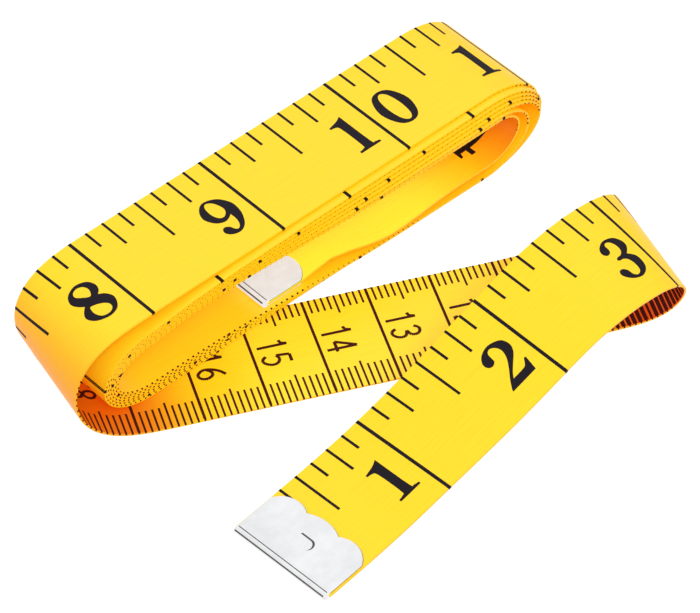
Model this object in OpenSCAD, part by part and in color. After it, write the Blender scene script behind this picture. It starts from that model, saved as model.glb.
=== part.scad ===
// Soft tailor's tape measure: a printed ribbon with a metal clip on each end,
// wound into a flat oval coil, with its first inches led out and folded back.
// All lengths are in millimetres.  s is the distance along the ribbon from its
// start, w the distance across it, + towards the edge with the inch marks.

/* [Ribbon] */
// Width of the ribbon
ribbon_w = 19; // [15:0.5:19.5]
// Thickness of the ribbon
ribbon_t = 0.4; // [0.3:0.05:0.4]

/* [Led-out length] */
// Angle of the right fold's crease across the ribbon, degrees
crease_r = 14.1; // [13:0.1:16]
// Angle of the left bend's crease across the ribbon, degrees
crease_l = 13.1; // [12:0.1:14]
// Upward slope of the ribbon's start, degrees
tip_slope = 5.5; // [5:0.1:7]
// Rise of the front strip: its middle, its length and its turn
rise = [21.5, 54, -13.3]; // [-20:0.5:60]
// Crest of the front strip: its middle, its length and its turn
crest = [68, 52.5, 48.5]; // [30:0.5:80]
// Fold at the right: its middle and its length
fold = [83.7, 30]; // [28:0.1:90]
// How much the front strip leans towards its near edge, height per width
lean = 0.105; // [0:0.005:0.12]
// How much shorter the fold is at its near edge
pinch = 1; // [0:0.1:1.2]
// Ease into the lower run: its middle, its length and its turn
ease = [104, 7, 3]; // [2:0.5:110]
// Bend at the left: its middle and its length
left_bend_at = [180.9, 39.8]; // [39:0.1:183]
// Place along the ribbon where both creases are settled, on the lower run
join_s = 130; // [125:1:140]
// Place along the ribbon where the wound coil's flat top begins
top_s = 205; // [204:1:210]

/* [Coil] */
// Distance from one turn to the next
pitch = 0.45; // [0.42:0.01:0.5]
// Height of the outermost top run at the right bend
coil_top = 15.6; // [15.5:0.1:16]
// Where the right bends start at the top and end at the bottom
right_x = [40, 38]; // [36:1:42]
// How far the outermost right bend reaches past its start
right_reach = 12.2; // [10:0.1:13]
// How much further in the last two right bends stand than wound tight
loose = [0, 0, 0, 0, 0, 2.4, 4.2]; // [0:0.1:5]
// Where the wound turns' left bends start
left_x = -28; // [-29:0.5:-26]
// How far the outermost of them reaches
left_reach = 9.5; // [7:0.1:9.6]
// Height of the wound turns' top at the left bend
left_top = 13.7; // [13:0.1:14]
// Shape of their top runs from there: distance along and depth below the coil's top
top_shape = [[-20, 0.6], [-12, 0.2], [2, 0.03]]; // [-25:0.01:25]
// How far the wound turns stand towards the near side of the outermost one
drift = 2; // [0:0.1:2.5]
// Height of the coil's underside where it lies over the lower run
step_up = 0.55; // [0.5:0.05:0.8]
// Number of right bends
turns = 7; // [7:1:7]
// Height of the inner end's run in the hollow
inner_z = 4.7; // [4.4:0.1:5]
// Where the ribbon's inner end is
inner_end_x = -7.3; // [-12:0.1:0]

/* [Clips] */
// Length of a clip along the ribbon
clip_l = 9.8; // [8:0.1:12]
// Thickness of a clip's plate
clip_t = 0.25; // [0.2:0.05:0.3]
// Space between a clip's two plates
clip_gap = 0.56; // [0.5:0.02:0.7]
// Radius of the rolled outer end
bead_r = 0.6; // [0.5:0.05:0.7]
// Radius of the two side lobes
lobe_r = 4.2; // [4:0.1:4.5]

/* [Hidden] */
// the object's middle, which the origin goes under
middle = [4.31, -23.87];
half_w = ribbon_w / 2;
half_t = ribbon_t / 2;
walk_step = 0.5;
facet = 1.5;

// ---- the led-out length: two stretches with straight parallel rulings ----

function ramp(x) = x <= -0.5 ? 0 : x >= 0.5 ? 1 : x + 0.5 + sin(360 * x) / (2 * PI);
function turned(u, b) = b[2] * ramp((u - b[0]) / b[1]);

fold_turn = 180 + tip_slope - rise[2] - crest[2] - ease[2];
head_r = function(u) tip_slope - turned(u, rise) - turned(u, crest)
    - turned(u, [fold[0], fold[1], fold_turn]) - turned(u, ease);
head_l = function(u) 180 - turned(u, [left_bend_at[0], left_bend_at[1], 180]);

// section of a stretch, as [u, across, height], walked from u0 to u1
function walk(head, u0, u1) =
    let (n = ceil(abs(u1 - u0) / walk_step), d = (u1 - u0) / n)
    [for (i = 0, p = [0, 0]; i <= n;
          p = p + d * [cos(head(u0 + (i + 0.5) * d)), sin(head(u0 + (i + 0.5) * d))],
          i = i + 1)
        [u0 + i * d, p.x, p.y]];

// where a heading that only falls passes a value
function find_u(head, deg, lo, hi, n = 24) =
    let (m = (lo + hi) / 2)
    n == 0 ? m : head(m) > deg ? find_u(head, deg, m, hi, n - 1)
                               : find_u(head, deg, lo, m, n - 1);

lead_in = half_w * sin(crease_r) + 1;
walk_r = walk(head_r, join_s * cos(crease_r), -lead_in);
walk_l = walk(head_l, join_s * cos(crease_l), top_s * cos(crease_l) + lead_in);

function eased(t) = let (c = max(0, min(1, t))) c * c * (3 - 2 * c);
function lean_at(u) = lean * (eased((u - 23) / 27) - eased((u - 74) / 20));
function pinch_at(u, w) = pinch * (eased((u - 68) / 16) - eased((u - 84) / 16))
    * (0.3 + (half_w - w) / ribbon_w);

// stretch = [heading, crease angle, section's direction, join point, table, leans]
function dir(a) = [cos(a), sin(a), 0];
function along(st, s, w) = s * cos(st[1]) - w * sin(st[1]);
function place(st, s, w, off) =
    let (u = along(st, s, w), h = st[0](u))
    st[3] + (lookup(u, st[4][0]) - st[5] * pinch_at(u, w)) * dir(st[2])
    + ((s - join_s) * sin(st[1]) + w * cos(st[1])) * dir(st[2] + 90)
    + [0, 0, lookup(u, st[4][1]) - st[5] * lean_at(u) * (7.5 - w)]
    + off * (-sin(h) * dir(st[2]) + [0, 0, cos(h)]);
function table(walked) = [[for (q = walked) [q[0], q[1]]], [for (q = walked) [q[0], q[2]]]];

left_0 = [head_l, crease_l, -crease_l, [0, 0, half_t], table(walk_l), 0];
top_start = place(left_0, top_s, 0, 0);
join_p = [-25 - top_start.x, -top_start.y, half_t];
left = [head_l, crease_l, -crease_l, join_p, table(walk_l), 0];
right = [head_r, crease_r, crease_r - 2 * crease_l, join_p, table(walk_r), 1];

// a station is the pair of s values at the near edge and at the far edge
function ruling(st, u) = [(u - half_w * sin(st[1])) / cos(st[1]),
                          (u + half_w * sin(st[1])) / cos(st[1])];
function rulings(st, u0, u1) =
    let (n = ceil((u1 - u0) / facet)) [for (i = [0:n]) ruling(st, u0 + (u1 - u0) * i / n)];

// a length of ribbon through stations, each with the stretch that it is on
module ribbon(stations) {
    n = len(stations);
    pts = [for (q = stations) each [
        place(q[0], q[1][0], -half_w, -half_t), place(q[0], q[1][1], half_w, -half_t),
        place(q[0], q[1][1], half_w, half_t), place(q[0], q[1][0], -half_w, half_t)]];
    sides = [for (i = [0:n - 2], k = [0:3]) let (a = 4 * i + k, b = 4 * i + (k + 1) % 4)
        each [[a, a + 4, b], [b, a + 4, b + 4]]];
    e = 4 * (n - 1);
    polyhedron(pts, concat(sides, [[0, 1, 2], [0, 2, 3], [e, e + 2, e + 1], [e, e + 3, e + 2]]));
}
function on(st, list) = [for (q = list) [st, q]];

// joints are where the fold and the bend have turned 45 and 135 degrees
fold_hi = find_u(head_r, -45, 60, 110);
fold_lo = find_u(head_r, -135, 60, 110);
bend_lo = find_u(head_l, 135, 160, 200);
bend_hi = find_u(head_l, 45, 160, 200);

// ---- the coil, as a line of points in its own upright plane ----

top_z = half_t + top_start.z - half_t;
function run_bottom(k) = half_t + k * pitch;
function right_bend(k) =
    let (top = coil_top - k * pitch, low = k == turns - 1 ? inner_z : run_bottom(k),
         reach = right_reach - k * pitch - loose[k])
    [for (a = [90:-12:-90])
        [right_x[0] - (right_x[0] - right_x[1]) * (1 - sin(a)) / 2 + reach * cos(a),
         (top + low) / 2 + (top - low) / 2 * sin(a)]];
function left_turn(k) =
    let (top = left_top - k * pitch, low = run_bottom(k) + step_up)
    [for (a = [-90:12:90])
        [left_x - (left_reach - k * pitch) * cos(a),
         (top + low) / 2 + (top - low) / 2 * sin(a)]];
function bottom_run(k) = [[2, run_bottom(k) + step_up]];
function top_run(k) = [for (q = top_shape) [q[0], coil_top - k * pitch - q[1]]];
function turn(k) = concat(right_bend(k), bottom_run(k), left_turn(k), top_run(k + 1));

function unit(v) = v / norm(v);
function side(pts, i, off) =
    let (a = pts[max(i - 1, 0)], b = pts[min(i + 1, len(pts) - 1)], t = unit(b - a))
    pts[i] + off * [-t.y, t.x];
// a flat band with the ribbon's thickness, stood up and given the ribbon's width
module band(pts) {
    n = len(pts);
    rotate([90, 0, 0]) linear_extrude(height = ribbon_w, center = true)
        polygon(concat([for (i = [0:n - 1]) side(pts, i, half_t)],
                       [for (i = [n - 1:-1:0]) side(pts, i, -half_t)]));
}
function last(v) = v[len(v) - 1];
function total(pts) = len(pts) < 2 ? 0 : [for (i = [1:len(pts) - 1]) norm(pts[i] - pts[i - 1])] * [for (i = [1:len(pts) - 1]) 1];

outer_line = concat([[-25, top_z]], turn(0));
wound_line = [for (k = [1:turns - 3]) each turn(k)];
loose_line = concat(turn(turns - 2), right_bend(turns - 1));
inner_line = [[right_x[1] - 0.05, inner_z], [inner_end_x + 1.3, inner_z]];
echo(length = top_s + total(concat(outer_line, wound_line, loose_line, inner_line)) + 1.3,
     top_z = top_z, fold_turn = fold_turn);

// ---- the stamped clip, its outer end at x = 0, the ribbon along +x ----

clip_w = ribbon_w - 0.5;
module clip_outline() {
    intersection() {
        translate([0.4, -clip_w / 2]) square([clip_l, clip_w]);
        union() {
            translate([0.4, -clip_w / 2]) square([5.2, clip_w]);
            for (y = [-1, 1]) translate([clip_l - 0.1 - lobe_r, y * 5.6]) circle(lobe_r, $fn = 48);
            translate([clip_l - 6.6, 0]) circle(6.6, $fn = 64);
        }
    }
}
module clip() {
    for (z = [clip_gap / 2, -clip_gap / 2 - clip_t])
        translate([0, 0, z]) linear_extrude(height = clip_t) clip_outline();
    // rolled outer end
    translate([bead_r, 0, 0]) rotate([90, 0, 0])
        cylinder(r = bead_r, h = clip_w, center = true, $fn = 32);
    // pressed tongue
    translate([4.85, 0, clip_gap / 2 + clip_t - 0.05]) linear_extrude(height = 0.17) {
        translate([0, -0.7]) circle(0.95, $fn = 32);
        translate([-0.95, -0.7]) square([1.9, 2.4]);
    }
}

// ---- one module per sub-part ----

module lower_run() color("gold")
    ribbon(concat(on(right, rulings(right, fold_lo, join_s * cos(crease_r) - 4)),
                  on(left, rulings(left, join_s * cos(crease_l) + 4, bend_lo))));

module right_fold() color("gold")
    ribbon(on(right, rulings(right, fold_hi, fold_lo)));

module front_strip() color("gold")
    ribbon(on(right, concat([[1.3, 1.3]], rulings(right, 4, fold_hi))));

module start_clip() color("gainsboro")
    translate(place(right, 0, 0, 0)) rotate([0, 0, right[2]])
        rotate([0, -head_r(5.5), 0]) rotate([0, 0, crease_r]) clip();

module left_bend() color("gold")
    ribbon(on(left, rulings(left, bend_lo, bend_hi)));

module top_shoulder() color("gold")
    ribbon(on(left, concat(rulings(left, bend_hi, top_s * cos(crease_l) - 3), [[top_s, top_s]])));

module outer_turn() color("gold") band(outer_line);
module drifted() translate([0, -drift, 0]) children();
module wound_turns() color("goldenrod") drifted() band(concat([last(outer_line)], wound_line));
module loose_turns() color("gold") drifted() band(concat([last(wound_line)], loose_line));
module inner_run() color("goldenrod") drifted() band(inner_line);
module finish_clip() color("gainsboro")
    drifted() translate([inner_end_x, 0, inner_z]) rotate([180, 0, 0]) clip();

module centred() translate([-middle.x, -middle.y, 0]) children();

centred() lower_run();
centred() right_fold();
centred() front_strip();
centred() start_clip();
centred() left_bend();
centred() top_shoulder();
centred() outer_turn();
centred() wound_turns();
centred() loose_turns();
centred() inner_run();
centred() finish_clip();
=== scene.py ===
"""A soft tailor's tape measure: a printed ribbon with a metal clip on each end, wound
into a flat oval coil, with its first inches led out and folded back over themselves."""

from math import atan2, ceil, cos, hypot, pi, radians, sin

import bmesh
import bpy
from bpy.props import FloatProperty, FloatVectorProperty, PointerProperty
from mathutils import Matrix, Vector
from mathutils.geometry import delaunay_2d_cdt


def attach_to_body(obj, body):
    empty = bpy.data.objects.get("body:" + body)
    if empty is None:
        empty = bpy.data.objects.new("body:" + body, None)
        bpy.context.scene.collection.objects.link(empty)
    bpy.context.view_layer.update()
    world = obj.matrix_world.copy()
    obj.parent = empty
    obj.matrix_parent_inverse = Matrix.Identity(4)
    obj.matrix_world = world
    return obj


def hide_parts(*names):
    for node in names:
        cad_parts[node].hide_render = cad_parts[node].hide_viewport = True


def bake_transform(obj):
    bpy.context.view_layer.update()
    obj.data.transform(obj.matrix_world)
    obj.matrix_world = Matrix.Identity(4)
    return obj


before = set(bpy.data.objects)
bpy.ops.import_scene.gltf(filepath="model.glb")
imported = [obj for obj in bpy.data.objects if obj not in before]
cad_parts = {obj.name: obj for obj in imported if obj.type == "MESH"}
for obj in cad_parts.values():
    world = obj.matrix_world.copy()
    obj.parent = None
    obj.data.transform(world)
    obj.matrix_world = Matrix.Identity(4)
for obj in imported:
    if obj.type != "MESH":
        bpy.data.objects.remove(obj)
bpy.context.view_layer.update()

bl_info = {
    "name": "Tailor's Tape Measure",
    "version": (1, 0, 0),
    "blender": (4, 5, 0),
    "location": "3D View > Sidebar > Tape",
    "description": "Builds a wound soft tape measure around its packed frame",
    "category": "Add Mesh",
}

# Lengths in this part are millimetres until `metres` turns them into the scene's unit.
# s runs along the ribbon from its start; w runs across it, + towards the inch ticks;
# the inch side is the outer one, off > 0, and the centimetre side the inner one.
MM = 0.001
INCH = 25.4
RIBBON_W = 19.0
RIBBON_T = 0.34
CAD_T = 0.4
MIDDLE = Vector((4.31, -23.87, 0.0))
CREASE_R, CREASE_L = radians(14.1), radians(13.1)
TIP_SLOPE = 5.5
RISE, CREST, EASE = (21.5, 54.0, -13.3), (68.0, 52.5, 48.5), (104.0, 7.0, 3.0)
FOLD = (83.7, 30.0, 180 + TIP_SLOPE - RISE[2] - CREST[2] - EASE[2])
LEFT_BEND = (180.9, 39.8, 180.0)
JOIN_S, TOP_S = 130.0, 205.0
PITCH = 0.45
LEAN, PINCH = 0.105, 1.0
COIL_TOP, LEFT_TOP, STEP_UP = 15.6, 13.7, 0.55
TOP_SHAPE = ((-20.0, 0.6), (-12.0, 0.2), (2.0, 0.03))
RIGHT_X, LEFT_X = (40.0, 38.0), -28.0
RIGHT_REACH, LEFT_REACH = 12.2, 9.5
TURNS = 7
LOOSE = (0, 0, 0, 0, 0, 2.4, 4.2)
INNER_Z, INNER_END_X = 4.7, -7.3
CM_ZERO = 0.8
PRINT_START = 9.4
FILM = 0.02
INCH_LINE, INCH_TICK = 0.56, 0.44
CM_LINE, MM_TICK, CM_FAR_GAP = 0.44, 0.32, 0.2
CLIP_HALF, PLATE_IN, PLATE_OUT, BEAD_R = 9.25, 0.26, 0.52, 0.6


def ramp(x):
    """From 0 to 1 over one unit, level at both ends."""
    if abs(x) >= 0.5:
        return float(x > 0)
    return x + 0.5 + sin(2 * pi * x) / (2 * pi)


def turned(u, bend):
    """How many degrees of a bend (middle, length, angle) lie before u."""
    return bend[2] * ramp((u - bend[0]) / bend[1])


def heading_right(u):
    return radians(TIP_SLOPE - sum(turned(u, b) for b in (RISE, CREST, FOLD, EASE)))


def heading_left(u):
    return radians(180 - turned(u, LEFT_BEND))


def smooth(t):
    t = min(max(t, 0.0), 1.0)
    return t * t * (3 - 2 * t)


def through(x, knots):
    """Eased from knot to knot."""
    for (x0, y0), (x1, y1) in zip(knots, knots[1:]):
        if x < x1:
            return y0 + (y1 - y0) * smooth((x - x0) / (x1 - x0))
    return knots[-1][1]


class Stretch:
    """A length of ribbon bent about parallel creases that cross it at an angle."""

    def __init__(self, heading, crease, azimuth, join, u_end, leans=0.0):
        self.heading, self.crease, self.join, self.leans = heading, crease, join, leans
        self.across = Vector((cos(azimuth), sin(azimuth), 0))
        self.ruling = Vector((-sin(azimuth), cos(azimuth), 0))
        self.u0 = JOIN_S * cos(crease)
        steps = ceil(abs(u_end - self.u0) / 0.25)
        self.d = (u_end - self.u0) / steps
        self.line = [(0.0, 0.0)]
        for i in range(steps):
            h = heading(self.u0 + (i + 0.5) * self.d)
            x, z = self.line[-1]
            self.line.append((x + self.d * cos(h), z + self.d * sin(h)))

    def along(self, s, w):
        return s * cos(self.crease) - w * sin(self.crease)

    def s_on(self, u, w):
        """The s at which the crease line u crosses the ribbon w from its middle."""
        return (u + w * sin(self.crease)) / cos(self.crease)

    def place(self, s, w, off):
        u = self.along(s, w)
        t = (u - self.u0) / self.d
        i = min(max(int(t), 0), len(self.line) - 2)
        (x0, z0), (x1, z1) = self.line[i], self.line[i + 1]
        x, z = x0 + (x1 - x0) * (t - i), z0 + (z1 - z0) * (t - i)
        h = self.heading(u)
        v = (s - JOIN_S) * sin(self.crease) + w * cos(self.crease)
        x -= off * sin(h) + self.leans * PINCH * (0.8 - w / RIBBON_W) * (
            smooth((u - 68) / 16) - smooth((u - 84) / 16))
        z += off * cos(h) - self.leans * LEAN * (7.5 - w) * (
            smooth((u - 23) / 27) - smooth((u - 74) / 20))
        return self.join + x * self.across + v * self.ruling + Vector((0, 0, z))


class Coil:
    """The wound turns: a line in an upright plane, fanned towards its near side."""

    def __init__(self, top_z):
        line = [(-25.0, top_z, 0, 0.0)]
        for k in range(TURNS):
            line += [(x, z, k, 0.0) for x, z in self.right_bend(k)]
            if k < TURNS - 1:
                line += [(x, z, k, 1.0) for x, z in self.left_turn(k)]
                line += [(x, COIL_TOP - (k + 1) * PITCH - d, k + 1, 0.0)
                         for x, d in TOP_SHAPE]
        line.append((INNER_END_X, INNER_Z, TURNS - 1, 2.0))
        self.pts, self.lat, self.s = [], [], []
        s = TOP_S
        for i, (x, z, k, low) in enumerate(line):
            x0, z0 = line[i - 1][:2] if i else (x, z)
            n = max(1, ceil(hypot(x - x0, z - z0) / 3.5))
            for j in range(1, n + 1):
                p = (x0 + (x - x0) * j / n, z0 + (z - z0) * j / n)
                if low == 2.0:
                    p = (p[0], p[1] + through(p[0], ((2.4, 0), (6, 0.4), (18, -0.6), (31, 0))))
                if self.pts:
                    s += hypot(p[0] - self.pts[-1][0], p[1] - self.pts[-1][1])
                self.pts.append(p)
                self.s.append(s)
                self.lat.append(self.fan(p[0], k, low))
        self.h = []
        for i in range(len(self.pts)):
            a, b = self.pts[max(i - 1, 0)], self.pts[min(i + 1, len(self.pts) - 1)]
            h = atan2(b[1] - a[1], b[0] - a[0])
            while self.h and h > self.h[-1] + pi:
                h -= 2 * pi
            while self.h and h < self.h[-1] - pi:
                h += 2 * pi
            self.h.append(h)

    def fan(self, x, k, low):
        """How far a turn stands towards the near side: less at the left bends."""
        if low == 2.0:
            return through(x, ((0, -1.9), (5, -1.4), (18, -3.3), (33, -3.0)))
        at_right = max(-1.3 - 0.4 * (k - 1), -3.0) if k else 0.0
        return through(x, ((-22, -1.3 if k or low else 0.0), (20, at_right)))

    def right_bend(self, k):
        top = COIL_TOP - k * PITCH
        low = INNER_Z if k == TURNS - 1 else CAD_T / 2 + k * PITCH
        reach = RIGHT_REACH - k * PITCH - LOOSE[k]
        pts = []
        for i in range(31):
            a = radians(90 - 6 * i)
            x = RIGHT_X[0] - (RIGHT_X[0] - RIGHT_X[1]) * (1 - sin(a)) / 2 + reach * cos(a)
            pts.append((x, (top + low) / 2 + (top - low) / 2 * sin(a)))
        return pts

    def left_turn(self, k):
        top, low = LEFT_TOP - k * PITCH, CAD_T / 2 + k * PITCH + STEP_UP
        pts = [(2.0, low)]
        for i in range(31):
            a = radians(-90 + 6 * i)
            x = LEFT_X - (LEFT_REACH - k * PITCH) * cos(a)
            pts.append((x, (top + low) / 2 + (top - low) / 2 * sin(a)))
        return pts

    def s_at(self, point):
        """The s of one of the line's corners."""
        return self.s[min(range(len(self.pts)), key=lambda i: hypot(
            self.pts[i][0] - point[0], self.pts[i][1] - point[1]))]

    def place(self, s, w, off):
        lo, hi = 0, len(self.s) - 2
        while lo < hi:
            m = (lo + hi + 1) // 2
            lo, hi = (m, hi) if self.s[m] <= s else (lo, m - 1)
        t = (s - self.s[lo]) / (self.s[lo + 1] - self.s[lo])
        (x0, z0), (x1, z1) = self.pts[lo], self.pts[lo + 1]
        h = self.h[lo] + (self.h[lo + 1] - self.h[lo]) * t
        y = w + self.lat[lo] + (self.lat[lo + 1] - self.lat[lo]) * t
        return Vector((x0 + (x1 - x0) * t - off * sin(h), y, z0 + (z1 - z0) * t + off * cos(h)))


reach_in = RIBBON_W / 2 * sin(CREASE_R) + 2
left_0 = Stretch(heading_left, CREASE_L, -CREASE_L, Vector((0, 0, CAD_T / 2)),
                 TOP_S * cos(CREASE_L) + reach_in)
top_0 = left_0.place(TOP_S, 0, 0)
join = Vector((-25 - top_0.x, -top_0.y, CAD_T / 2))
left = Stretch(heading_left, CREASE_L, -CREASE_L, join, TOP_S * cos(CREASE_L) + reach_in)
right = Stretch(heading_right, CREASE_R, CREASE_R - 2 * CREASE_L, join, -reach_in, 1.0)
coil = Coil(top_0.z)
LENGTH = coil.s[-1]


def crossing(stretch, degrees, lo, hi):
    """The crease line at which a falling heading passes an angle."""
    for _ in range(30):
        m = (lo + hi) / 2
        lo, hi = (m, hi) if stretch.heading(m) > radians(degrees) else (lo, m)
    return lo


def metres(p):
    """From millimetres about the join to metres about the part's own middle."""
    return (p - MIDDLE) * MM


def on_ribbon(s, w, off=0.0):
    """The point at s and w, off above the ribbon's middle surface."""
    part = right if s < JOIN_S else left if s < TOP_S else coil
    return metres(part.place(s, w, off))


# ---- materials ----


class Val:
    """A shader socket that takes part in Python arithmetic."""

    def __init__(self, graph, socket):
        self.graph, self.socket = graph, socket

    def _op(self, operation, other, swap=False):
        a, b = (other, self) if swap else (self, other)
        return self.graph.node("ShaderNodeMath", {"operation": operation}, {0: a, 1: b})

    def __add__(self, other):
        return self._op("ADD", other)

    __radd__ = __add__

    def __mul__(self, other):
        return self._op("MULTIPLY", other)

    __rmul__ = __mul__

    def __sub__(self, other):
        return self._op("SUBTRACT", other)

    def __rsub__(self, other):
        return self._op("SUBTRACT", other, swap=True)


class Graph:
    """A node tree and its output shader."""

    def __init__(self, tree, shader):
        self.tree, self.shader = tree, tree.nodes[shader]

    def node(self, kind, settings=None, inputs=None, out=0):
        n = self.tree.nodes.new(kind)
        for key, value in (settings or {}).items():
            setattr(n, key, value)
        for key, value in (inputs or {}).items():
            if isinstance(value, Val):
                self.tree.links.new(value.socket, n.inputs[key])
            else:
                n.inputs[key].default_value = value
        return Val(self, n.outputs[out])

    def drive(self, socket, value):
        self.tree.links.new(value.socket, self.shader.inputs[socket])

    def mix(self, factor, a, b):
        return self.node("ShaderNodeMix", {"data_type": "RGBA"},
                         {0: factor, 6: a, 7: b}, out=2)


def principled(name, **constants):
    """The graph of a new material, with its Principled shader's constants set."""
    mat = bpy.data.materials.new(name)
    mat.use_nodes = True
    g = Graph(mat.node_tree, "Principled BSDF")
    g.material = mat
    for socket, value in constants.items():
        g.shader.inputs[socket.replace("_", " ")].default_value = value
    return g


def rgba(colour, k=1.0):
    return (colour[0] * k, colour[1] * k, colour[2] * k, 1.0)


def ribbon_material(name, inner):
    """Coated woven tape: saturated yellow with fine streaks along its length.

    On the inner side an attribute paints in light and shade: a glowing orange where the ribbon
    bends back over itself, painted bounce light and shade, and below zero a paler yellow,
    painted light where it lies open to the light.  On the outer side `side` paints shade that
    darkens it round the left bend.  Both sides also emit a painted orange glow.
    """
    s = settings()
    g = principled(name, Roughness=0.42, Specular_IOR_Level=0.35, Emission_Strength=1.0)
    # Painted light: the ribbon emits its glow colour on both sides.
    colour, glow = s.ribbon_colour, s.ribbon_glow
    uv = g.node("ShaderNodeUVMap", {"uv_map": "ribbon"})
    stretched = g.node("ShaderNodeMapping", {}, {0: uv, "Scale": (0.05, 1.0, 1.0)})
    threads = g.node("ShaderNodeTexNoise", {}, {"Vector": stretched, "Scale": 2600.0,
                                                "Detail": 3.0, "Roughness": 0.6})
    mottle = g.node("ShaderNodeTexNoise", {}, {"Vector": uv, "Scale": 160.0, "Detail": 3.0})
    streak = g.node("ShaderNodeMapRange", {}, {0: threads, 1: 0.35, 2: 0.65})
    tone = g.mix(streak, rgba((colour[0], colour[1] * 0.93, colour[2])), rgba(colour))
    tone = g.mix(mottle * 0.3, tone, rgba((colour[0], colour[1] * 0.9, colour[2] * 0.5)))
    if inner:
        # Painted light and shade: above zero the inner side turns deep orange with a dimmer glow in
        # the bends; below zero its glow is brightened where it lies open.
        deep = g.node("ShaderNodeAttribute", {"attribute_name": "deep"}, {}, out=2)
        tone = g.mix(deep, tone, rgba((colour[0], colour[1] * 0.1, 0.002)))
        light = g.mix(deep, rgba(glow), rgba(glow, 0.36))
        light = g.mix(deep * -1.0, light, rgba((glow[0] * 1.15, glow[1] * 6.5, 0.035)))
    else:
        # Painted shade: the side attribute darkens the outer side's colour and glow round the left
        # bend.
        side = g.node("ShaderNodeAttribute", {"attribute_name": "side"}, {}, out=2) * 0.4
        tone = g.mix(side, tone, rgba((colour[0] * 0.8, colour[1] * 0.1, 0.0)))
        light = g.mix(side, rgba(glow), rgba(glow, 0.85))
    g.drive("Base Color", tone)
    g.drive("Emission Color", light)
    g.drive("Roughness", 0.36 + streak * 0.12)
    height = threads * 0.8 + mottle * 0.4
    g.drive("Normal", g.node("ShaderNodeBump", {}, {"Strength": 0.15, "Distance": 0.00006,
                                                    "Height": height}))
    return g.material


def ink_material(name, colour):
    """Printing ink with a faint unevenness."""
    g = principled(name, Roughness=0.55, Specular_IOR_Level=0.12)
    place = g.node("ShaderNodeTexCoord", {}, {}, out=3)
    blotch = g.node("ShaderNodeTexNoise", {}, {"Vector": place, "Scale": 900.0, "Detail": 3.0})
    g.drive("Base Color", g.mix(blotch, rgba(colour, 0.7), rgba(colour, 1.4)))
    return g.material


def metal_material(colour):
    """Bright plated sheet with very fine rolling marks; part of its brightness is painted light, a
    grey glow in soft patches.
    """
    g = principled("clip_metal", Metallic=0.2, Roughness=0.34, Emission_Strength=1.0)
    place = g.node("ShaderNodeTexCoord", {}, {}, out=3)
    grain = g.node("ShaderNodeTexNoise", {}, {"Vector": place, "Scale": 700.0, "Detail": 4.0})
    fine = g.node("ShaderNodeTexNoise", {}, {"Vector": place, "Scale": 4000.0, "Detail": 2.0})
    broad = g.node("ShaderNodeTexNoise", {}, {"Vector": place, "Scale": 220.0, "Detail": 3.0})
    painted_glow_patch = g.node("ShaderNodeMapRange", {}, {0: broad * 0.6 + grain * 0.4, 1: 0.3, 2: 0.7})
    g.drive("Base Color", g.mix(grain, rgba(colour, 0.85), rgba(colour, 1.0)))
    # Painted light: the clips glow with a grey emission in soft patches.
    g.drive("Emission Color", g.mix(painted_glow_patch, (0.56, 0.565, 0.57, 1), (0.69, 0.695, 0.70, 1)))
    g.drive("Roughness", 0.26 + grain * 0.16)
    g.drive("Normal", g.node("ShaderNodeBump", {}, {"Strength": 0.1, "Distance": 0.00005,
                                                    "Height": grain + fine * 0.5}))
    return g.material


# ---- the ribbon ----


def deselect():
    bpy.ops.object.select_all(action="DESELECT")


def apply_all(obj):
    bpy.context.view_layer.objects.active = obj
    for m in list(obj.modifiers):
        bpy.ops.object.modifier_apply(modifier=m.name)


def deepness(s):
    """Painted light on the inner side at s: how orange it glows in painted bounce light and shade;
    below zero, how much painted light brightens it.
    """
    inner_bend = INNER_START - 6
    glows = ((1.0, 72, 6, 106, 14),                            # the right fold
             (0.85, 158, 14, 200, 12),                         # the left bend
             (0.75, inner_bend - 10, 8, inner_bend + 10, 12),  # the hollow's right end
             (0.35, WOUND_END - 20, 10, WOUND_END + 30, 20))   # the loose turns
    deep = max(share * smooth((s - s0) / w0) * smooth((s1 - s) / w1)
               for share, s0, w0, s1, w1 in glows)
    # Below zero: painted light that brightens the hollow's inner run and the lower run.
    hollow = 0.85 * smooth((s - inner_bend - 6) / 16)
    lower_run = 0.3 * smooth((s - 106) / 8) * smooth((158 - s) / 10)
    return deep - min(hollow + lower_run, 0.85)


def shade(s):
    """How much painted shade darkens the outer side: only round the left bend."""
    return smooth((s - 160) / 14) * smooth((198 - s) / 14)


def ribbon_piece(name, stations):
    """A length of ribbon through stations; each gives s for a w across the ribbon."""
    deselect()
    across = 6
    n = len(stations) - 1
    bpy.ops.mesh.primitive_grid_add(x_subdivisions=n, y_subdivisions=across, size=1)
    obj = bpy.context.object
    obj.name = obj.data.name = name
    flat = {}
    for v in obj.data.vertices:
        i, j = round((v.co.x + 0.5) * n), round((v.co.y + 0.5) * across)
        w = (j / across - 0.5) * RIBBON_W
        s = stations[i](w)
        flat[v.index] = (s, w)
        v.co = on_ribbon(s, w)
    # Painted light and painted shade along the ribbon, read by its materials.
    for label, value in (("deep", deepness), ("side", shade)):
        layer = obj.data.attributes.new(label, "FLOAT", "POINT")
        for i, (s, _) in flat.items():
            layer.data[i].value = value(s)
    uv = obj.data.uv_layers[0]
    uv.name = "ribbon"
    for loop in obj.data.loops:
        s, w = flat[loop.vertex_index]
        uv.data[loop.index].uv = (s * MM, w * MM)
    wall = obj.modifiers.new("thickness", "SOLIDIFY")
    wall.thickness, wall.offset, wall.use_even_offset = RIBBON_T * MM, 0.0, True
    wall.material_offset = 1
    obj.data.materials.clear()
    for label, inner in (("ribbon_outer_side", False), ("ribbon_inner_side", True)):
        obj.data.materials.append(material(label, ribbon_material, label, inner))
    apply_all(obj)
    bpy.ops.object.shade_smooth_by_angle(angle=radians(40))
    return obj


def square(s):
    return lambda w: s


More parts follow.
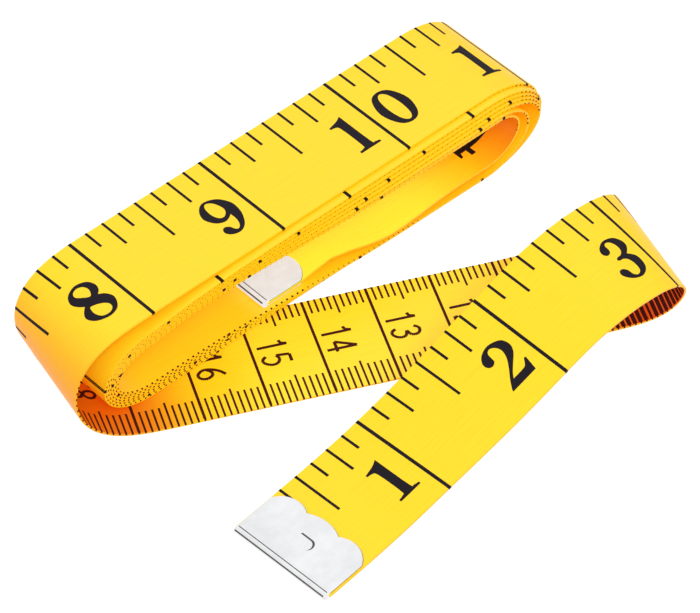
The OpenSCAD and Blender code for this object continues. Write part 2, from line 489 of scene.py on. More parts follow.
def slanted(stretch, u):
    return lambda w: stretch.s_on(u, w)


def slants(stretch, u0, u1, step=0.5):
    n = ceil(abs(u1 - u0) / step)
    return [slanted(stretch, u0 + (u1 - u0) * i / n) for i in range(n + 1)]


def squares(s0, s1):
    """Stations square across the coil, at its line's own corners."""
    out, last = [s0], s0
    for s in coil.s:
        if s0 + 0.2 < s < s1 - 0.2 and s - last > 0.2:
            out.append(s)
            last = s
    out.append(s1)
    return [square(s) for s in out]


# ---- the print ----

# Figures of the inch side in a box 8.2 high.  A contour is a closed smooth line;
# a point with a third value is a sharp corner.
C = 1
FIGURES = {
    "0": ([[(2.85, 0), (4.7, 0.9), (5.7, 4.1), (4.7, 7.3), (2.85, 8.2), (1.0, 7.3),
            (0, 4.1), (1.0, 0.9)]],
          [[(2.85, 0.6), (3.75, 1.5), (4.1, 4.1), (3.75, 6.7), (2.85, 7.6), (1.95, 6.7),
            (1.6, 4.1), (1.95, 1.5)]]),
    "1": ([[(0.1, 0, C), (4.15, 0, C), (4.15, 0.4, C), (3.3, 0.6), (2.95, 1.2),
            (2.95, 8.2, C), (1.9, 7.65), (0.05, 7.2, C), (0.1, 6.85, C), (0.9, 6.7),
            (1.38, 5.9), (1.38, 1.2), (1.05, 0.6), (0.1, 0.4, C)]], []),
    "2": ([[(0, 0, C), (4.9, 0, C), (5.4, 2.5, C), (5.05, 2.55), (4.3, 1.65),
            (3.5, 1.45), (1.6, 1.45, C), (2.35, 2.3), (3.6, 3.4), (4.85, 4.5),
            (5.45, 5.8), (5.0, 7.4), (3.1, 8.25), (1.35, 7.8), (0.4, 6.7), (0.45, 5.7),
            (1.1, 5.25), (1.85, 5.6), (2.0, 6.4), (2.2, 7.3), (2.85, 7.65),
            (3.6, 7.1), (3.9, 6.0), (3.5, 4.7), (2.5, 3.3), (1.1, 1.7), (0.1, 0.35)]], []),
    "3": ([[(0.75, 6.4), (1.1, 7.3), (2.2, 8.05), (3.3, 8.2), (4.7, 7.8), (5.5, 6.6),
            (5.3, 5.5), (4.15, 4.45, C), (5.1, 3.6), (5.3, 2.5), (4.8, 1.1),
            (3.6, 0.2), (2.3, 0), (0.9, 0.55), (0.1, 1.7), (0.35, 2.5), (1.05, 2.6),
            (1.6, 2.0), (1.75, 1.0), (2.4, 0.55), (3.3, 1.0), (3.65, 2.2), (3.45, 3.4),
            (2.8, 3.95), (2.1, 4.0), (1.75, 4.3), (2.2, 4.65), (3.0, 4.75), (3.75, 5.4),
            (3.9, 6.5), (3.5, 7.4), (2.8, 7.7), (2.3, 7.3), (2.25, 6.5), (1.9, 5.9),
            (1.2, 5.75)]], []),
    "4": ([[(1.7, 0, C), (5.0, 0, C), (5.0, 0.45, C), (4.15, 0.7, C), (4.15, 1.8, C),
            (5.5, 1.8, C), (5.5, 2.7, C), (4.15, 2.7, C), (4.15, 8.2, C), (3.5, 8.2, C),
            (0, 2.6, C), (0, 1.8, C), (2.6, 1.8, C), (2.6, 0.7, C), (1.7, 0.45, C)]],
          [[(0.75, 2.7, C), (2.6, 2.7, C), (2.6, 5.8, C)]]),
    "5": ([[(0.8, 8.2, C), (2.8, 7.95), (4.7, 8.2, C), (4.3, 6.9), (3.0, 6.5),
            (1.35, 6.8, C), (1.2, 5.2, C), (2.2, 5.5), (3.4, 5.4), (4.8, 4.5),
            (5.3, 2.8), (4.7, 1.0), (2.8, 0), (1.1, 0.4), (0.2, 1.5), (0.5, 2.4),
            (1.2, 2.6), (1.8, 2.1), (1.8, 1.3), (2.2, 0.65), (2.9, 0.6), (3.6, 1.2),
            (3.8, 2.7), (3.4, 4.2), (2.5, 4.8), (1.5, 4.6), (0.9, 4.1, C),
            (0.45, 4.2, C)]], []),
    "7": ([[(0.3, 8.2, C), (0.1, 5.8, C), (0.5, 5.8, C), (0.9, 6.5), (1.7, 6.75),
            (4.3, 6.75, C), (3.0, 4.6), (2.1, 2.2), (1.9, 0, C), (3.6, 0, C), (3.9, 2.4),
            (4.6, 4.6), (5.5, 7.2, C), (5.5, 8.2, C)]], []),
    "8": ([[(2.8, 0), (4.6, 0.6), (5.6, 2.4), (5.1, 3.8), (4.2, 4.5, C), (4.9, 5.2),
            (5.15, 6.3), (4.5, 7.6), (2.75, 8.2), (0.95, 7.5), (0.25, 6.1), (0.6, 4.9),
            (1.3, 4.05, C), (0.4, 3.2), (0, 2.1), (0.8, 0.7)]],
          [[(2.6, 7.6), (3.5, 7.2), (3.85, 6.3), (3.5, 5.3), (3.0, 5.0), (2.1, 5.7),
            (1.5, 6.5), (1.75, 7.3)],
           [(1.9, 3.4), (3.1, 2.95), (4.0, 2.25), (4.2, 1.5), (3.8, 0.85), (2.9, 0.55),
            (1.9, 0.9), (1.45, 1.9), (1.55, 2.95)]]),
    "9": ([[(2.4, 8.2), (4.2, 7.5), (5.3, 5.9), (5.5, 4.4), (5.1, 2.6), (4.0, 0.8),
            (2.6, 0), (1.2, 0.3), (0.5, 1.2), (0.75, 2.0), (1.35, 2.15), (1.95, 1.7),
            (2.2, 1.0), (2.7, 0.65), (3.4, 1.3), (3.75, 2.5), (3.75, 3.7, C),
            (2.95, 3.2), (2.0, 3.05), (0.8, 3.7), (0, 5.3), (0.3, 6.7), (1.2, 7.8)]],
          [[(2.3, 7.75), (3.1, 7.3), (3.6, 6.3), (3.75, 5.2), (3.4, 4.4), (2.65, 3.9),
            (1.9, 4.2), (1.5, 5.2), (1.5, 6.4), (1.75, 7.3)]]),
}
FIGURES["6"] = tuple([[(5.5 - p[0], 8.2 - p[1], *p[2:]) for p in c] for c in part]
                     for part in FIGURES["9"])

# Figures of the centimetre side as pen strokes in a box 4.7 high, 2.3 wide.
STROKES = {
    "0": [[(1.15, 0.25), (0.25, 1.3), (0.25, 3.4), (1.15, 4.45), (2.05, 3.4), (2.05, 1.3),
           (1.15, 0.25)]],
    "1": [[(0.15, 3.55), (0.75, 3.75), (1.05, 4.6)], [(1.05, 4.6, C), (1.05, 0.0, C)]],
    "2": [[(0.3, 3.5), (0.5, 4.25), (1.2, 4.45), (1.95, 4.1), (2.0, 3.2), (1.2, 1.8),
           (0.25, 0.3)], [(0.2, 0.25, C), (2.1, 0.25, C)]],
    "3": [[(0.3, 3.75), (0.7, 4.35), (1.3, 4.45), (1.95, 4.0), (1.9, 3.0), (0.95, 2.5)],
          [(0.95, 2.5), (1.95, 2.1), (2.05, 1.1), (1.4, 0.3), (0.7, 0.3), (0.25, 0.95)]],
    "4": [[(1.6, 0.0, C), (1.6, 4.6, C), (0.15, 1.45, C), (2.2, 1.45, C)]],
    "5": [[(2.0, 4.4, C), (0.55, 4.4, C), (0.35, 2.4, C), (1.1, 2.75), (1.9, 2.3),
           (2.05, 1.3), (1.4, 0.3), (0.7, 0.3), (0.25, 0.85)]],
    "6": [[(1.85, 4.3), (0.9, 3.4), (0.3, 2.1), (0.3, 1.0), (1.0, 0.25), (1.8, 0.5),
           (2.05, 1.5), (1.5, 2.4), (0.8, 2.3), (0.35, 1.7)]],
    "7": [[(0.2, 4.4, C), (2.1, 4.4, C), (1.3, 2.4), (0.9, 0.0, C)]],
    "8": [[(1.15, 2.45), (0.45, 3.0), (0.45, 4.0), (1.15, 4.45), (1.85, 4.0), (1.85, 3.0),
           (1.15, 2.45), (0.3, 1.8), (0.3, 0.8), (1.15, 0.25), (2.0, 0.8), (2.0, 1.8),
           (1.15, 2.45)]],
}
STROKES["9"] = [[(2.3 - x, 4.7 - y) for x, y in c] for c in STROKES["6"]]


def smooth_line(points, closed, steps=4):
    """A rounded line through points (Catmull-Rom), sharp where a point says corner."""
    n = len(points)
    out = []
    for i in range(n if closed else n - 1):
        p = [points[(i + k) % n] if closed else points[min(max(i + k, 0), n - 1)]
             for k in (-1, 0, 1, 2)]
        if len(p[1]) > 2:
            p[0] = p[1]
        if len(p[2]) > 2:
            p[3] = p[2]
        straight = len(p[1]) > 2 and len(p[2]) > 2
        for j in range(1 if straight else steps):
            t = j / steps
            f = (-0.5 * t + t * t - 0.5 * t ** 3, 1 - 2.5 * t * t + 1.5 * t ** 3,
                 0.5 * t + 2 * t * t - 1.5 * t ** 3, -0.5 * t * t + 0.5 * t ** 3)
            out.append(tuple(sum(f[k] * p[k][a] for k in range(4)) for a in (0, 1)))
    if not closed:
        out.append(points[-1][:2])
    return out


def pen(line, width):
    """Quads along a line, one for each of its segments."""
    faces = []
    for (x0, y0), (x1, y1) in zip(line, line[1:]):
        d = hypot(x1 - x0, y1 - y0)
        if d > 1e-6:
            nx, ny = -(y1 - y0) / d * width / 2, (x1 - x0) / d * width / 2
            faces.append([(x0 - nx, y0 - ny), (x1 - nx, y1 - ny), (x1 + nx, y1 + ny),
                          (x0 + nx, y0 + ny)])
    return faces


def signed_area(polygon):
    return sum(a[0] * b[1] - b[0] * a[1]
               for a, b in zip(polygon, polygon[1:] + polygon[:1])) / 2


def triangles(adds, cuts=()):
    """The area inside any of `adds` and inside none of `cuts`, as triangles."""
    verts, faces = [], []
    for polygon in list(adds) + list(cuts):
        if signed_area(polygon) < 0:
            polygon = polygon[::-1]
        faces.append(list(range(len(verts), len(verts) + len(polygon))))
        verts += [Vector(p) for p in polygon]
    out_v, _, out_f, _, _, origin = delaunay_2d_cdt(verts, [], faces, 0, 1e-5)
    n = len(adds)
    return [[tuple(out_v[i]) for i in f] for f, o in zip(out_f, origin)
            if any(k < n for k in o) and not any(k >= n for k in o)]


figure_cache = {}


def figure(char, thin):
    if (char, thin) not in figure_cache:
        if thin:
            adds = [q for c in STROKES[char] for q in pen(smooth_line(c, False), 0.5)]
            cuts = []
        else:
            adds = [smooth_line(c, True) for c in FIGURES[char][0]]
            cuts = [smooth_line(c, True) for c in FIGURES[char][1]]
        figure_cache[char, thin] = triangles(adds, cuts)
    return figure_cache[char, thin]


FIGURE_WIDTH = {"0": 5.7, "1": 4.2, "2": 5.4, "3": 5.5, "4": 5.5, "5": 5.3, "6": 5.5,
                "7": 5.5, "8": 5.6, "9": 5.5}


class Print:
    """Flat artwork for one side of a length of ribbon, laid on it as a thin film."""

    def __init__(self, side):
        self.side, self.faces, self.marks = side, [], []

    def bar(self, s, width, w0, w1):
        """A straight line across the ribbon, in short pieces."""
        n = max(1, ceil((w1 - w0) / 0.9))
        for i in range(n):
            a, b = w0 + (w1 - w0) * i / n, w0 + (w1 - w0) * (i + 1) / n
            self.faces.append([(s - width / 2, a), (s + width / 2, a),
                               (s + width / 2, b), (s - width / 2, b)])

    def edge(self, s, width, side, share=1.0):
        """Ink that has run over the ribbon's cut edge at the end of a line."""
        self.marks.append((s, width, side, share))

    def glyph(self, char, thin, to_flat):
        """A figure, cut finely along the ribbon so that it follows the bends."""
        bm = bmesh.new()
        for f in figure(char, thin):
            q = [to_flat(*p) for p in f]
            bm.faces.new([bm.verts.new((x, y, 0)) for x, y in q])
        bmesh.ops.remove_doubles(bm, verts=bm.verts, dist=1e-4)
        lo = [min(v.co[a] for v in bm.verts) for a in (0, 1)]
        hi = [max(v.co[a] for v in bm.verts) for a in (0, 1)]
        for axis, step in ((0, 0.5), (1, 1.0)):
            for k in range(ceil(lo[axis] / step), ceil(hi[axis] / step)):
                co, no = Vector((0, 0, 0)), Vector((0, 0, 0))
                co[axis], no[axis] = k * step, 1
                bmesh.ops.bisect_plane(bm, geom=bm.verts[:] + bm.edges[:] + bm.faces[:],
                                       plane_co=co, plane_no=no)
        self.faces += [[(v.co.x, v.co.y) for v in f.verts] for f in bm.faces]
        bm.free()

    def build(self, name, material):
        """The film: a closed skin that stands a little above the coating."""
        sign = 1 if self.side == "inch" else -1
        bm = bmesh.new()
        for f in self.faces:
            pts = [on_ribbon(s, w, sign * (RIBBON_T / 2 + FILM)) for s, w in f]
            if signed_area(f) * sign < 0:
                pts.reverse()
            bm.faces.new([bm.verts.new(p) for p in pts])
        bmesh.ops.remove_doubles(bm, verts=bm.verts, dist=2e-6)
        mesh = bpy.data.meshes.new(name)
        bm.to_mesh(mesh)
        bm.free()
        obj = bpy.data.objects.new(name, mesh)
        bpy.context.collection.objects.link(obj)
        deselect()
        obj.select_set(True)
        wall = obj.modifiers.new("film", "SOLIDIFY")
        wall.thickness, wall.offset = 2 * FILM * MM, -1.0
        apply_all(obj)
        bm = bmesh.new()
        bm.from_mesh(obj.data)
        for s, width, w_edge, share in self.marks:
            self.edge_box(bm, s, width, w_edge, share, sign)
        bm.to_mesh(obj.data)
        bm.free()
        obj.data.materials.append(material)
        return obj

    def edge_box(self, bm, s, width, w_edge, share, sign):
        """One mark: a thin box round the cut edge, down to a share of the thickness."""
        out = 1 if w_edge > 0 else -1
        top = sign * (RIBBON_T / 2 + FILM)
        low = sign * (RIBBON_T / 2 - RIBBON_T * share)
        v = [bm.verts.new(on_ribbon(s + a * width / 2, w_edge + out * b, o))
             for o in (low, top) for a, b in ((-1, -0.2), (1, -0.2), (1, 0.015), (-1, 0.015))]
        new = [bm.faces.new([v[i] for i in q]) for q in
               ((0, 3, 2, 1), (4, 5, 6, 7), (0, 1, 5, 4), (1, 2, 6, 5), (2, 3, 7, 6), (3, 0, 4, 7))]
        bmesh.ops.recalc_face_normals(bm, faces=new)


def inch_print(s0, s1):
    """Inch side: eighths along the far edge, a full line and a figure at each inch."""
    art = Print("inch")
    edge = RIBBON_W / 2
    for i in range(ceil(s0 / INCH * 8), int(s1 / INCH * 8) + 1):
        s = i * INCH / 8
        if s < PRINT_START or not s0 <= s < s1:
            continue
        if i % 8 == 0:
            art.bar(s, INCH_LINE, -edge, edge)
            if not 86 < s < 178:
                art.edge(s, INCH_LINE, -edge)
                art.edge(s, INCH_LINE, edge)
        else:
            long = 9.1 if i % 4 == 0 else 5.6 if i % 2 == 0 else 3.6
            art.bar(s, INCH_TICK, edge - long, edge)
            art.edge(s, INCH_TICK, edge)
    for inch in range(1, int(LENGTH / INCH)):
        text, s = str(inch), inch * INCH
        starts = [s - 2.0 - FIGURE_WIDTH[text[0]]]
        if len(text) > 1:
            starts.append(s + 1.7)
        for char, at in zip(text, starts):
            if s0 <= at + 2.5 < s1:
                art.glyph(char, False, lambda x, y, at=at: (at + x, y - 5.6))
    return art


def cm_print(s0, s1):
    """Centimetre side: millimetres along both edges, a line and a figure each centimetre."""
    art = Print("cm")
    edge = RIBBON_W / 2
    for i in range(ceil(s0 - CM_ZERO), int(s1 - CM_ZERO) + 1):
        s = i + CM_ZERO
        if s < PRINT_START or not s0 <= s < s1:
            continue
        if i % 10 == 0:
            art.bar(s, CM_LINE, CM_FAR_GAP - edge, edge)
        else:
            half_way = i % 5 == 0
            # Painted shade: the ticks widen in the fold so that its underside reads darker.
            fold_painted_shade = smooth((s - 74) / 8) * smooth((106 - s) / 12)
            wide = MM_TICK + 0.4 * fold_painted_shade
            art.bar(s, wide, edge - (3.7 if half_way else 2.7), edge)
            art.bar(s, wide, CM_FAR_GAP - edge, (5.0 if half_way else 4.2) - edge)
        if 86 < s < 188:
            art.edge(s, 0.3, -edge, 0.55)
            art.edge(s, 0.3, edge, 0.55)
    for cm in range(1, int(LENGTH / 10)):
        text, s = str(cm), cm * 10 + CM_ZERO
        if not s0 <= s - 3 < s1 or s < 14:
            continue
        wide = 2.5 if len(text) > 1 else 0.0
        for k, char in enumerate(text):
            at = 0.6 + wide - 2.7 * k + (0.0 if wide else 1.15)
            art.glyph(char, True, lambda x, y, at=at, s=s: (s - 1.0 - y, at - x))
    return art


def edge_marks(s0, s1):
    """Only the line ends that show on the cut edges of the wound turns."""
    inch, cm = Print("inch"), Print("cm")
    edge = RIBBON_W / 2
    for i in range(ceil(s0 / INCH), int(s1 / INCH) + 1):
        for side in (-edge, edge):
            inch.edge(i * INCH, INCH_LINE, side)
            inch.bar(i * INCH, INCH_LINE, *sorted((side, side * 0.85)))
    for i in range(ceil(s0), int(s1)):
        x, _, z = on_ribbon(i, 0) / MM + MIDDLE
        size = 0.3 if x < 2 and z < 9 or x > 45 and z > 7 else 0.14
        if x < 25 and z < 9 or z > 9:
            for side in (-edge, edge):
                cm.edge(i + CM_ZERO, size, side, size * 1.5)
    return inch, cm


# ---- operators ----


class TapeSettings(bpy.types.PropertyGroup):
    """Colours and finish of the tape measure."""

    ribbon_colour: FloatVectorProperty(
        name="Ribbon", description="Colour of the coated ribbon", subtype="COLOR",
        size=3, min=0, max=1, default=(0.62, 0.66, 0.010))
    inch_ink: FloatVectorProperty(
        name="Inch print", description="Ink of the inch side", subtype="COLOR",
        size=3, min=0, max=1, default=(0.010, 0.007, 0.012))
    cm_ink: FloatVectorProperty(
        name="Centimetre print", description="Ink of the centimetre side", subtype="COLOR",
        size=3, min=0, max=1, default=(0.05, 0.006, 0.004))
    # Painted light: an orange emission over the whole ribbon that stands in for light bounced in
    # its bends and hollows.
    ribbon_glow: FloatVectorProperty(
        name="Ribbon glow", description="Light that comes through the soft ribbon",
        subtype="COLOR", size=3, min=0, max=1, default=(0.42, 0.055, 0.0))
    metal_colour: FloatVectorProperty(
        name="Clips", description="Colour of the plated clips", subtype="COLOR",
        size=3, min=0, max=1, default=(0.20, 0.21, 0.22))
    light: FloatProperty(
        name="Light", description="Strength of the soft room light", default=1.0, min=0)


fold_side = crossing(right, -90, 60, 110)
fold_flat = crossing(right, -172, 60, 125)
fold_crest = crossing(right, -18, 40, 100)
bend_side = crossing(left, 90, 150, 210)
bend_flat = crossing(left, 172, 130, 200)
bend_crest = crossing(left, 8, 150, 230)
SHOULDER_END = 212.0
OUTER_END = coil.s_at(coil.left_turn(0)[-1])
WOUND_END = coil.s_at(coil.left_turn(4)[-1])
INNER_START = coil.s_at(coil.right_bend(TURNS - 1)[-1])


def middle_of(stretch, u):
    return on_ribbon(u / cos(stretch.crease), 0)


def declare(length):
    """Works out how long the sheet is when it lies flat; the value is not kept."""
    length * MM


def settings():
    return bpy.context.scene.tape_settings


def material(name, make, *args):
    """The material of that name, made when it is first asked for."""
    return bpy.data.materials.get(name) or make(*args)


def inks():
    s = settings()
    return (material("inch_ink", ink_material, "inch_ink", s.inch_ink),
            material("cm_ink", ink_material, "cm_ink", s.cm_ink))


def dress(name, art, ink, attach):
    """Builds one side's print and fixes it the way its ribbon is fixed."""
    if art.faces or art.marks:
        obj = art.build(name, ink)
        attach(obj)


class TAPE_OT_front_length(bpy.types.Operator):
    """The front strip, from the start clip over the crest to the side of the fold."""

    bl_idname = "tape.front_length"
    bl_label = "Front Length"

    def execute(self, context):
        stations = [square(1.0)] + slants(right, 4.0, fold_side)
        obj = ribbon_piece("ribbon_front", stations)
        length = fold_side / cos(CREASE_R) - 1.0

        def attach(o):
            middle_of(right, fold_side)
            middle_of(right, fold_crest)
            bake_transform(o)

        attach(obj)
        declare(length)
        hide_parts("front_strip")
        s1 = fold_side / cos(CREASE_R)
        inch, cm = inks()
        dress("print_front_inch", inch_print(0, s1), inch, attach)
        dress("print_front_cm", cm_print(0, s1), cm, attach)
        return {"FINISHED"}


class TAPE_OT_lower_run(bpy.types.Operator):
    """The run on the table: out of the fold, across, and into the left bend."""

    bl_idname = "tape.lower_run"
    bl_label = "Lower Run"

    def execute(self, context):
        inch, cm = inks()
        s_fold, s_bend = fold_side / cos(CREASE_R), bend_side / cos(CREASE_L)

        def attach_right(o):
            middle_of(right, fold_flat)
            middle_of(right, fold_side)
            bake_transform(o)

        def attach_left(o):
            middle_of(left, bend_flat)
            middle_of(left, bend_side)
            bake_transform(o)

        obj = ribbon_piece("ribbon_lower_right",
                           slants(right, fold_side, JOIN_S * cos(CREASE_R) - 4)
                           + [square(JOIN_S)])
        attach_right(obj)
        declare(JOIN_S - s_fold)
        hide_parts("right_fold")
        obj = ribbon_piece("ribbon_lower_left",
                           [square(JOIN_S)] + slants(left, JOIN_S * cos(CREASE_L) + 4,
                                                     bend_side))
        attach_left(obj)
        declare(s_bend - JOIN_S)
        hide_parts("lower_run", "left_bend")
        dress("print_lower_right_inch", inch_print(s_fold, JOIN_S), inch, attach_right)
        dress("print_lower_right_cm", cm_print(s_fold, JOIN_S), cm, attach_right)
        dress("print_lower_left_inch", inch_print(JOIN_S, s_bend), inch, attach_left)
        dress("print_lower_left_cm", cm_print(JOIN_S, s_bend), cm, attach_left)
        return {"FINISHED"}


class TAPE_OT_shoulder(bpy.types.Operator):
    """The upper half of the left bend, up to the coil's flat top."""

    bl_idname = "tape.shoulder"
    bl_label = "Shoulder"

    def execute(self, context):
        inch, cm = inks()
        s0 = bend_side / cos(CREASE_L)

        def attach(o):
            middle_of(left, bend_side)
            middle_of(left, bend_crest)
            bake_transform(o)

        obj = ribbon_piece("ribbon_shoulder",
                           slants(left, bend_side, TOP_S * cos(CREASE_L) - 3)
                           + [square(TOP_S), square(SHOULDER_END)])
        attach(obj)
        declare(SHOULDER_END - s0)
        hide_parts("top_shoulder")
        dress("print_shoulder_inch", inch_print(s0, SHOULDER_END), inch, attach)
        dress("print_shoulder_cm", cm_print(s0, SHOULDER_END), cm, attach)
        return {"FINISHED"}


class TAPE_OT_coil(bpy.types.Operator):
    """The wound turns and the springy inner end."""

    bl_idname = "tape.coil"
    bl_label = "Coil"

    def execute(self, context):
        inch, cm = inks()

        def ride(o):
            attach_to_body(o, "coil")

        def lift(o):
            hinge = on_ribbon(INNER_START, 0)
            hinge + Vector((0.001, 0, 0))
            hinge - Vector((0.009, 0, 0))
            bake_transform(o)

        for name, s0, s1, node in (("ribbon_outer_turn", SHOULDER_END, OUTER_END, "outer_turn"),
                                   ("ribbon_wound_turns", OUTER_END, WOUND_END, "wound_turns"),
                                   ("ribbon_loose_turns", WOUND_END, INNER_START, "loose_turns")):
            obj = ribbon_piece(name, squares(s0, s1))
            ride(obj)
            declare(s1 - s0)
            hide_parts(node)
        ends = LENGTH - 1.0
        obj = ribbon_piece("ribbon_inner_run",
                           [square(INNER_START + (ends - INNER_START) * i / 24)
                            for i in range(25)])
        lift(obj)
        declare(ends - INNER_START)
        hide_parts("inner_run")

        dress("print_outer_inch", inch_print(SHOULDER_END, OUTER_END), inch, ride)
        dress("print_outer_cm", cm_print(SHOULDER_END, 232), cm, ride)
        bold = Print("cm")
        bold.glyph("4", False, lambda x, y: (INNER_START + 2.0 - y, -0.6 - x))
        dress("print_inner_figure", bold, inch, lift)
        a, b = edge_marks(OUTER_END, INNER_START)
        dress("print_wound_inch", a, inch, ride)
        dress("print_wound_cm", b, cm, ride)
        _, b = edge_marks(262, OUTER_END)
        dress("print_outer_edge", b, cm, ride)
        return {"FINISHED"}


def slab(bm, outline, z0, z1):
    """A flat plate from an outline that runs anticlockwise."""
    low = [bm.verts.new((x, y, z0)) for x, y in outline]
    high = [bm.verts.new((x, y, z1)) for x, y in outline]
    n = len(outline)
    bm.faces.new(high)
    bm.faces.new(low[::-1])
    for i in range(n):
        j = (i + 1) % n
        bm.faces.new((low[i], low[j], high[j], high[i]))


def lobed(x):
    """The plate's inner end: a broad middle lobe between two side lobes."""
    side = max(4.2 ** 2 - (abs(x) - 5.6) ** 2, 0) ** 0.5 + 5.5
    return max(side, 3.2 + (6.6 ** 2 - x * x) ** 0.5 if abs(x) < 6.6 else 0)


def tongue(grow, shift):
    """The pressed tongue's outline: square at one end and round at the other."""
    r, cx, cy = 0.95 + grow, 4.85 + shift, -0.75 - shift * 0.5
    arc = [(cx + r * cos(radians(a)), cy + r * sin(radians(a))) for a in range(-180, 1, 15)]
    return arc + [(cx + r, 1.9 - shift * 3), (cx - r, 1.9)]


def clip_piece(name, parts, place, mat, bevel):
    """One piece of a clip from flat plates, each an outline and its two heights."""
    bm = bmesh.new()
    for outline, z0, z1 in parts:
        slab(bm, outline, z0, z1)
    return finish_mesh(name, bm, place, mat, bevel)


def finish_mesh(name, bm, place, mat, bevel):
    """An object from a mesh in the clip's own frame: edges softened, then put in place."""
    mesh = bpy.data.meshes.new(name)
    bm.to_mesh(mesh)
    bm.free()
    obj = bpy.data.objects.new(name, mesh)
    bpy.context.collection.objects.link(obj)
    deselect()
    obj.select_set(True)
    if bevel:
        soft = obj.modifiers.new("edges", "BEVEL")
        soft.width, soft.segments = bevel, 3
        soft.limit_method, soft.angle_limit = "ANGLE", radians(50)
        apply_all(obj)
    mesh.transform(Matrix.Translation(-MIDDLE) @ place)
    mesh.transform(Matrix.Scale(MM, 4))
    bpy.context.view_layer.objects.active = obj
    bpy.ops.object.shade_smooth_by_angle(angle=radians(35))
    mesh.materials.append(mat)
    return obj


class TAPE_OT_clips(bpy.types.Operator):
    """The two stamped clips: folded plate, rolled outer end and pressed tongue."""

    bl_idname = "tape.clips"
    bl_label = "Clips"

    def execute(self, context):
        metal = material("clip_metal", metal_material, settings().metal_colour)
        # Painted shadow: a near-black material for thin pieces set where the clip lies in shade.
        painted_shadow = principled("clip_shadow", Roughness=0.8,
                          Base_Color=(0.07, 0.068, 0.06, 1)).material
        ys = [CLIP_HALF - CLIP_HALF * 2 * i / 74 for i in range(75)]
        lobes = [(lobed(y), y) for y in reversed(ys)]
        plate = [(0.8, -CLIP_HALF)] + lobes + [(0.8, CLIP_HALF)]
        # Painted shadow: an outline a little larger than the plate, set just inside it, shows as a
        # dark edge round the lobes.
        painted_shadow_rim = [(1.3, -CLIP_HALF)] + [(x + 0.09, y) for x, y in lobes] + [(1.3, CLIP_HALF)]
        at = right.place(0, 0, 0)
        start = (Matrix.Translation(at) @ Matrix.Rotation(CREASE_R - 2 * CREASE_L, 4, "Z")
                 @ Matrix.Rotation(-heading_right(5.5), 4, "Y")
                 @ Matrix.Rotation(CREASE_R, 4, "Z"))
        finish = (Matrix.Translation((INNER_END_X, -2.0, INNER_Z))
                  @ Matrix.Rotation(pi, 4, "X"))
        for node, place, body, face in (("start_clip", start, "front_end", 1),
                                        ("finish_clip", finish, "inner_end", -1)):
            made = [
                clip_piece(node + "_plates", [(plate, PLATE_IN, PLATE_OUT),
                                              (plate, -PLATE_OUT, -PLATE_IN)],
                           place, metal, 0.07),
                # Painted shadow: dark rims under both plates' edges and a dark film under the
                # tongue, shifted so it shows as a crescent on two sides.
                clip_piece(node + "_rim", [(painted_shadow_rim, 0.22, 0.30), (painted_shadow_rim, -0.30, -0.22),
                                           (tongue(0.08, 0.24), 0.5, 0.535)], place, painted_shadow, 0),
                clip_piece(node + "_tongue", [(tongue(0, 0), 0.5, 0.72)], place, metal, 0.16)]
            long = 2 * CLIP_HALF
            # The bead is metal; the line and the fold are painted shadow, thin dark rods along the
            # bead's outer side and where the plate meets the bead.
            for label, r, x, z, mat, depth in (
                    ("_bead", BEAD_R, BEAD_R, 0.0, metal, long),
                    ("_line", 0.12, 0.15, 0.36, painted_shadow, long - 0.5),
                    ("_fold", 0.09, 0.94, 0.49, painted_shadow, long - 0.5)):
                bm = bmesh.new()
                turn = Matrix.Translation((x, 0, z * face)) @ Matrix.Rotation(pi / 2, 4, "X")
                bmesh.ops.create_cone(bm, cap_ends=True, segments=40, radius1=r, radius2=r,
                                      depth=depth, matrix=turn)
                made.append(finish_mesh(node + label, bm, place, mat, 0.05))
            for obj in made:
                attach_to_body(obj, body)
            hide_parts(node)
        return {"FINISHED"}


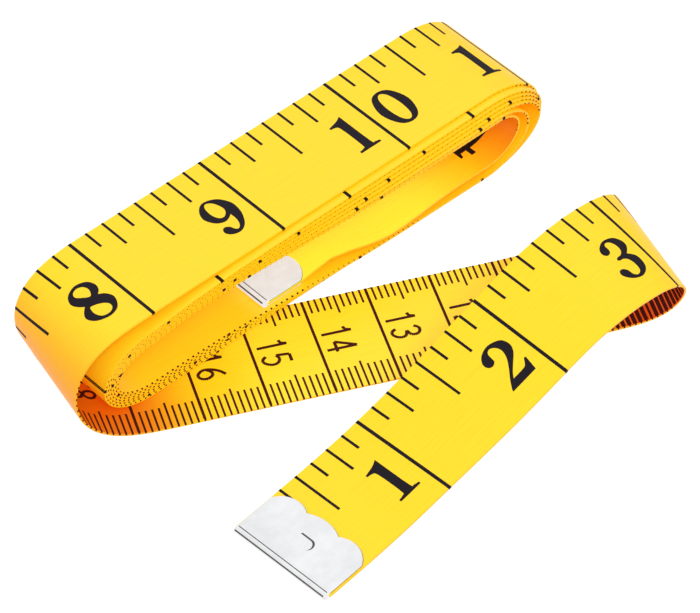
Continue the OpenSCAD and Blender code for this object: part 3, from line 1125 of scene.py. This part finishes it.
class TAPE_OT_stage(bpy.types.Operator):
    """A pale table, soft light from all round, and the camera."""

    bl_idname = "tape.stage"
    bl_label = "Stage"

    def execute(self, context):
        scene = context.scene
        deselect()
        bpy.ops.mesh.primitive_plane_add(size=4)
        floor = context.object
        floor.name = "floor"
        floor.data.materials.append(principled(
            "floor_white", Base_Color=(0.2, 0.2, 0.2, 1), Roughness=1.0,
            Specular_IOR_Level=0.0, Emission_Color=(1, 1, 1, 1),
            Emission_Strength=1.0).material)
        floor.visible_diffuse = False
        world = bpy.data.worlds.new("studio")
        scene.world = world
        world.use_nodes = True
        g = Graph(world.node_tree, "Background")
        way = g.node("ShaderNodeTexCoord")
        split = g.node("ShaderNodeSeparateXYZ", {}, {0: way}, out=2)
        rise = g.node("ShaderNodeMapRange", {}, {0: split, 1: -0.25, 2: 0.3})
        g.drive("Color", g.mix(rise, (0.75, 0.3, 0.08, 1), (0.78, 0.78, 0.78, 1)))
        g.shader.inputs["Strength"].default_value = settings().light
        for name, place, size, power in (("key", (-0.30, -0.45, 0.62), 0.35, 2.7),
                                         ("fill", (0.5, 0.5, 0.7), 0.6, 0.8)):
            data = bpy.data.lights.new(name, "AREA")
            data.size, data.energy = size, power
            lamp = bpy.data.objects.new(name, data)
            lamp.location = place
            lamp.rotation_euler = (-Vector(place)).to_track_quat("-Z", "Y").to_euler()
            scene.collection.objects.link(lamp)
        azimuth, elevation, roll = radians(-42.81), radians(46.2), radians(0.12)
        distance = 0.6506
        look = Vector((-sin(azimuth) * cos(elevation), cos(azimuth) * cos(elevation),
                       -sin(elevation)))
        quat = look.to_track_quat("-Z", "Y")
        side, up = quat @ Vector((1, 0, 0)), quat @ Vector((0, 1, 0))
        target = metres(Vector()) + (15.22 * side - 6.24 * up) * MM
        data = bpy.data.cameras.new("camera")
        data.sensor_width = 36
        data.lens = 220.9166
        data.clip_end = 20
        camera = bpy.data.objects.new("camera", data)
        camera.location = target - look * distance
        camera.rotation_euler = quat.to_euler()
        camera.rotation_euler.rotate_axis("Z", roll)
        scene.collection.objects.link(camera)
        scene.camera = camera
        scene.view_settings.view_transform = "Standard"
        return {"FINISHED"}


class TAPE_PT_panel(bpy.types.Panel):
    """Buttons that build the tape measure."""

    bl_idname = "TAPE_PT_panel"
    bl_label = "Tape Measure"
    bl_space_type = "VIEW_3D"
    bl_region_type = "UI"
    bl_category = "Tape"

    def draw(self, context):
        group = context.scene.tape_settings
        for name in group.bl_rna.properties.keys():
            if name not in ("rna_type", "name"):
                self.layout.prop(group, name)
        for cls in OPERATORS:
            self.layout.operator(cls.bl_idname)


OPERATORS = (TAPE_OT_front_length, TAPE_OT_lower_run, TAPE_OT_shoulder, TAPE_OT_coil,
             TAPE_OT_clips, TAPE_OT_stage)


def register():
    for cls in (TapeSettings, *OPERATORS, TAPE_PT_panel):
        bpy.utils.register_class(cls)
    bpy.types.Scene.tape_settings = PointerProperty(type=TapeSettings)


def unregister():
    del bpy.types.Scene.tape_settings
    for cls in (TAPE_PT_panel, *reversed(OPERATORS), TapeSettings):
        bpy.utils.unregister_class(cls)


def main():
    register()
    for cls in OPERATORS:
        space, call = cls.bl_idname.split(".")
        getattr(getattr(bpy.ops, space), call)()


if __name__ == "__main__":
    main()
